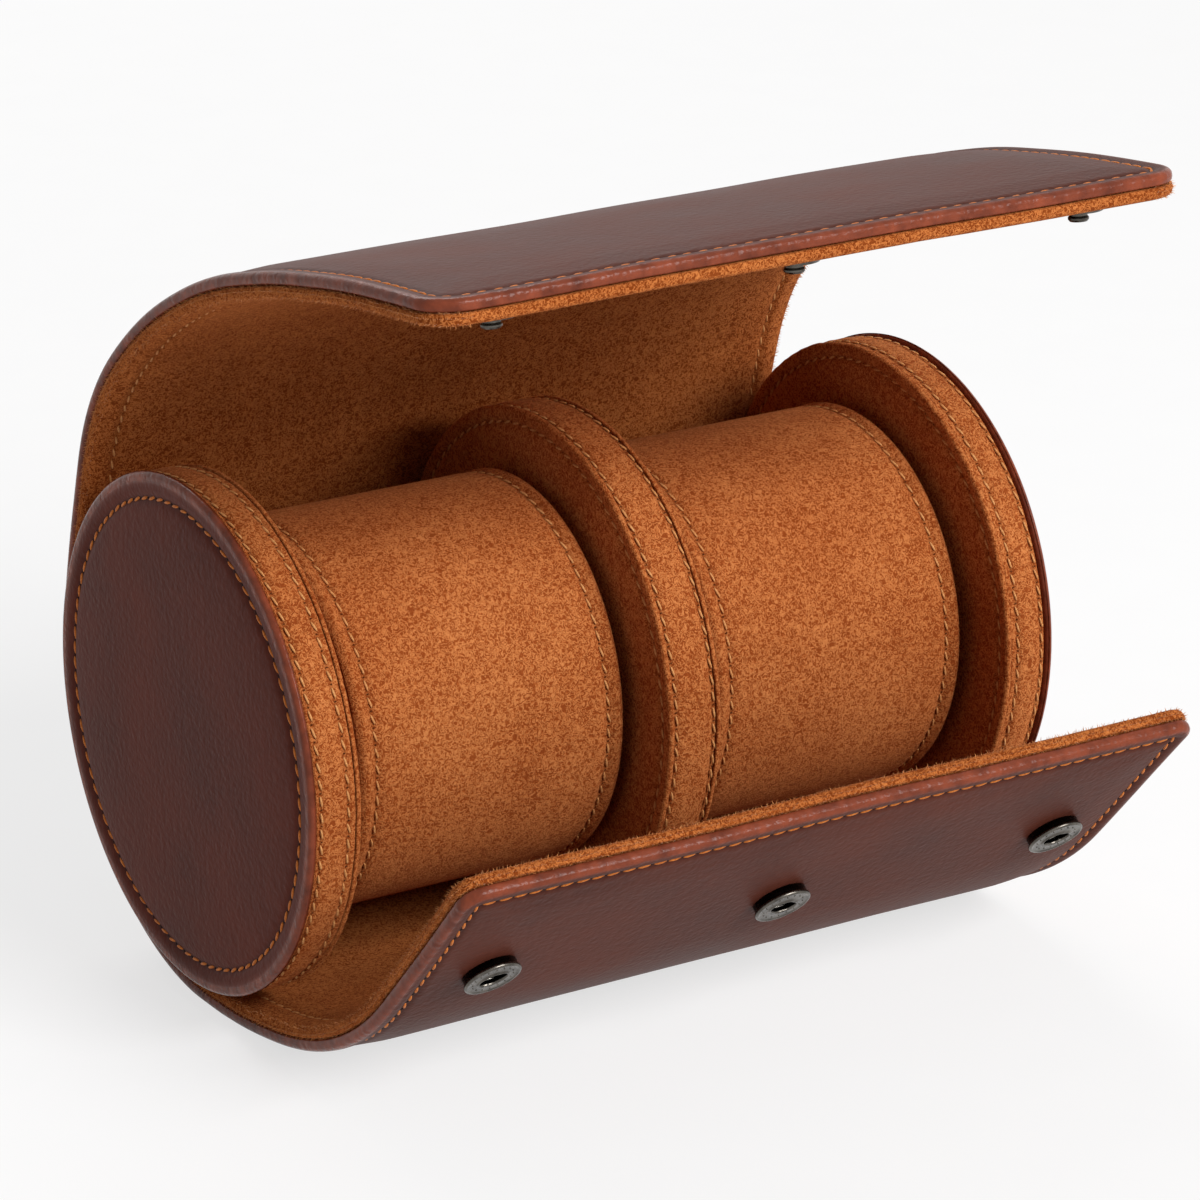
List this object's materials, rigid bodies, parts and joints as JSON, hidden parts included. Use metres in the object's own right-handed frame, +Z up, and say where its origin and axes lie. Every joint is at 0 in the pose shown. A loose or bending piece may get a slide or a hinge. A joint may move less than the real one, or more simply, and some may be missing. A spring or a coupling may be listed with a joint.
{
  "type": "watch travel case",
  "caption": "Cylindrical leather roll case for watches: wrap-around lid and front flap with snaps, suede lining, dividing discs and lift-out cushions.",
  "frame": {"origin": "on the surface that the case stands on, below the middle of its outline", "axes": "+X along the roll towards its right end, -Y towards the front flap, +Z up"},
  "size_m": [0.1492, 0.1402, 0.1461],
  "materials": {
    "wrap_leather": "dark brown, smooth fine grain, satin",
    "disc_leather": "dark brown, smooth fine grain, satin",
    "suede_lining": "tan suede, napped",
    "suede_disc": "tan suede, napped",
    "suede_cushion": "tan suede, napped",
    "stiffener": "thin flexible stiffening sheet",
    "disc_board": "pressed board",
    "foam": "soft foam",
    "snap_metal": "dark gunmetal plating, satin",
    "snap_spring_steel": "bare spring wire"
  },
  "bodies": {
    "case_body": {"shell_leather": "wrap_leather", "shell_board": "stiffener", "shell_lining": "suede_lining", "left_end_leather_face": "disc_leather", "left_end_foam_pad": "foam", "left_end_board_core": "disc_board", "left_end_suede_rim": "suede_disc", "left_end_suede_face": "suede_disc", "right_end_leather_face": "disc_leather", "right_end_foam_pad": "foam", "right_end_board_core": "disc_board", "right_end_suede_rim": "suede_disc", "right_end_suede_face": "suede_disc", "divider_board_core": "disc_board", "divider_suede_rim": "suede_disc", "divider_left_face": "suede_disc", "divider_right_face": "suede_disc"},
    "lid_strip_1": {"lid_leather_1": "wrap_leather", "lid_lining_1": "suede_lining"},
    "lid_strip_2": {"lid_leather_2": "wrap_leather", "lid_lining_2": "suede_lining"},
    "lid_strip_3": {"lid_leather_3": "wrap_leather", "lid_lining_3": "suede_lining"},
    "lid_strip_4": {"lid_leather_4": "wrap_leather", "lid_lining_4": "suede_lining", "lid_board_4": "stiffener"},
    "lid_strip_5": {"lid_leather_5": "wrap_leather", "lid_lining_5": "suede_lining", "lid_board_5": "stiffener"},
    "lid_strip_6": {"lid_leather_6": "wrap_leather", "lid_lining_6": "suede_lining", "lid_board_6": "stiffener", "snap_studs": "snap_metal", "snap_stud_posts": "snap_metal"},
    "flap_strip_1": {"flap_leather_1": "wrap_leather", "flap_lining_1": "suede_lining"},
    "flap_strip_2": {"flap_leather_2": "wrap_leather", "flap_lining_2": "suede_lining", "flap_board_2": "stiffener", "snap_sockets": "snap_metal", "snap_springs": "snap_spring_steel", "snap_socket_posts": "snap_metal"},
    "flap_strip_3": {"flap_leather_3": "wrap_leather", "flap_lining_3": "suede_lining", "flap_board_3": "stiffener"},
    "left_cushion": {"left_cushion_core": "foam", "left_cushion_cover": "suede_cushion", "left_cushion_end_caps": "suede_cushion"},
    "right_cushion": {"right_cushion_core": "foam", "right_cushion_cover": "suede_cushion", "right_cushion_end_caps": "suede_cushion"}
  },
  "joints": [
    {"name": "lid_fold", "type": "hinge", "parent": "case_body", "child": "lid_strip_1", "pos_m": [0, 0.06193, 0.086], "axis": [1, 0, 0], "range_deg": [-30, 29.68]},
    {"name": "lid_curl_2", "type": "hinge", "parent": "lid_strip_1", "child": "lid_strip_2", "pos_m": [0, 0.04805, 0.10865], "axis": [1, 0, 0], "range_deg": [-1.21, 4.92]},
    {"name": "lid_curl_3", "type": "hinge", "parent": "lid_strip_2", "child": "lid_strip_3", "pos_m": [0, 0.02621, 0.12422], "axis": [1, 0, 0], "range_deg": [-1.71, 6.96]},
    {"name": "lid_curl_4", "type": "hinge", "parent": "lid_strip_3", "child": "lid_strip_4", "pos_m": [0, 0.00129, 0.13429], "axis": [1, 0, 0], "range_deg": [-2.53, 10.33]},
    {"name": "lid_curl", "type": "hinge", "parent": "lid_strip_4", "child": "lid_strip_5", "pos_m": [0, -0.02, 0.1396], "axis": [1, 0, 0], "range_deg": [-6, 24.68]},
    {"name": "lid_curl_6", "type": "hinge", "parent": "lid_strip_5", "child": "lid_strip_6", "pos_m": [0, -0.04066, 0.14324], "axis": [1, 0, 0], "range_deg": [-5.12, 21]},
    {"name": "front_flap_fold", "type": "hinge", "parent": "case_body", "child": "flap_strip_1", "pos_m": [0, -0.00479, 0.00208], "axis": [-1, 0, 0], "range_deg": [-8, 26]},
    {"name": "front_flap_fold_2", "type": "hinge", "parent": "flap_strip_1", "child": "flap_strip_2", "pos_m": [0, -0.04363, 0.02273], "axis": [-1, 0, 0], "range_deg": [-4.94, 16.02]},
    {"name": "front_flap_fold_3", "type": "hinge", "parent": "flap_strip_2", "child": "flap_strip_3", "pos_m": [0, -0.05646, 0.03673], "axis": [-1, 0, 0], "range_deg": [-6.17, 20.02]},
    {"name": "left_cushion_lift", "type": "slide", "parent": "case_body", "child": "left_cushion", "axis": [0, 0.829, -0.5592], "range_m": [-0.08, 0]},
    {"name": "right_cushion_lift", "type": "slide", "parent": "case_body", "child": "right_cushion", "axis": [0, 0.829, -0.5592], "range_m": [-0.08, 0]}
  ],
  "couplings": [
    {"joint": "lid_curl_2", "follows": "lid_curl", "ratio": 0.19852},
    {"joint": "lid_curl_3", "follows": "lid_curl", "ratio": 0.28115},
    {"joint": "lid_curl_4", "follows": "lid_curl", "ratio": 0.41796},
    {"joint": "lid_curl_6", "follows": "lid_curl", "ratio": 0.85002},
    {"joint": "front_flap_fold_2", "follows": "front_flap_fold", "ratio": 0.61538},
    {"joint": "front_flap_fold_3", "follows": "front_flap_fold", "ratio": 0.76923}
  ]
}
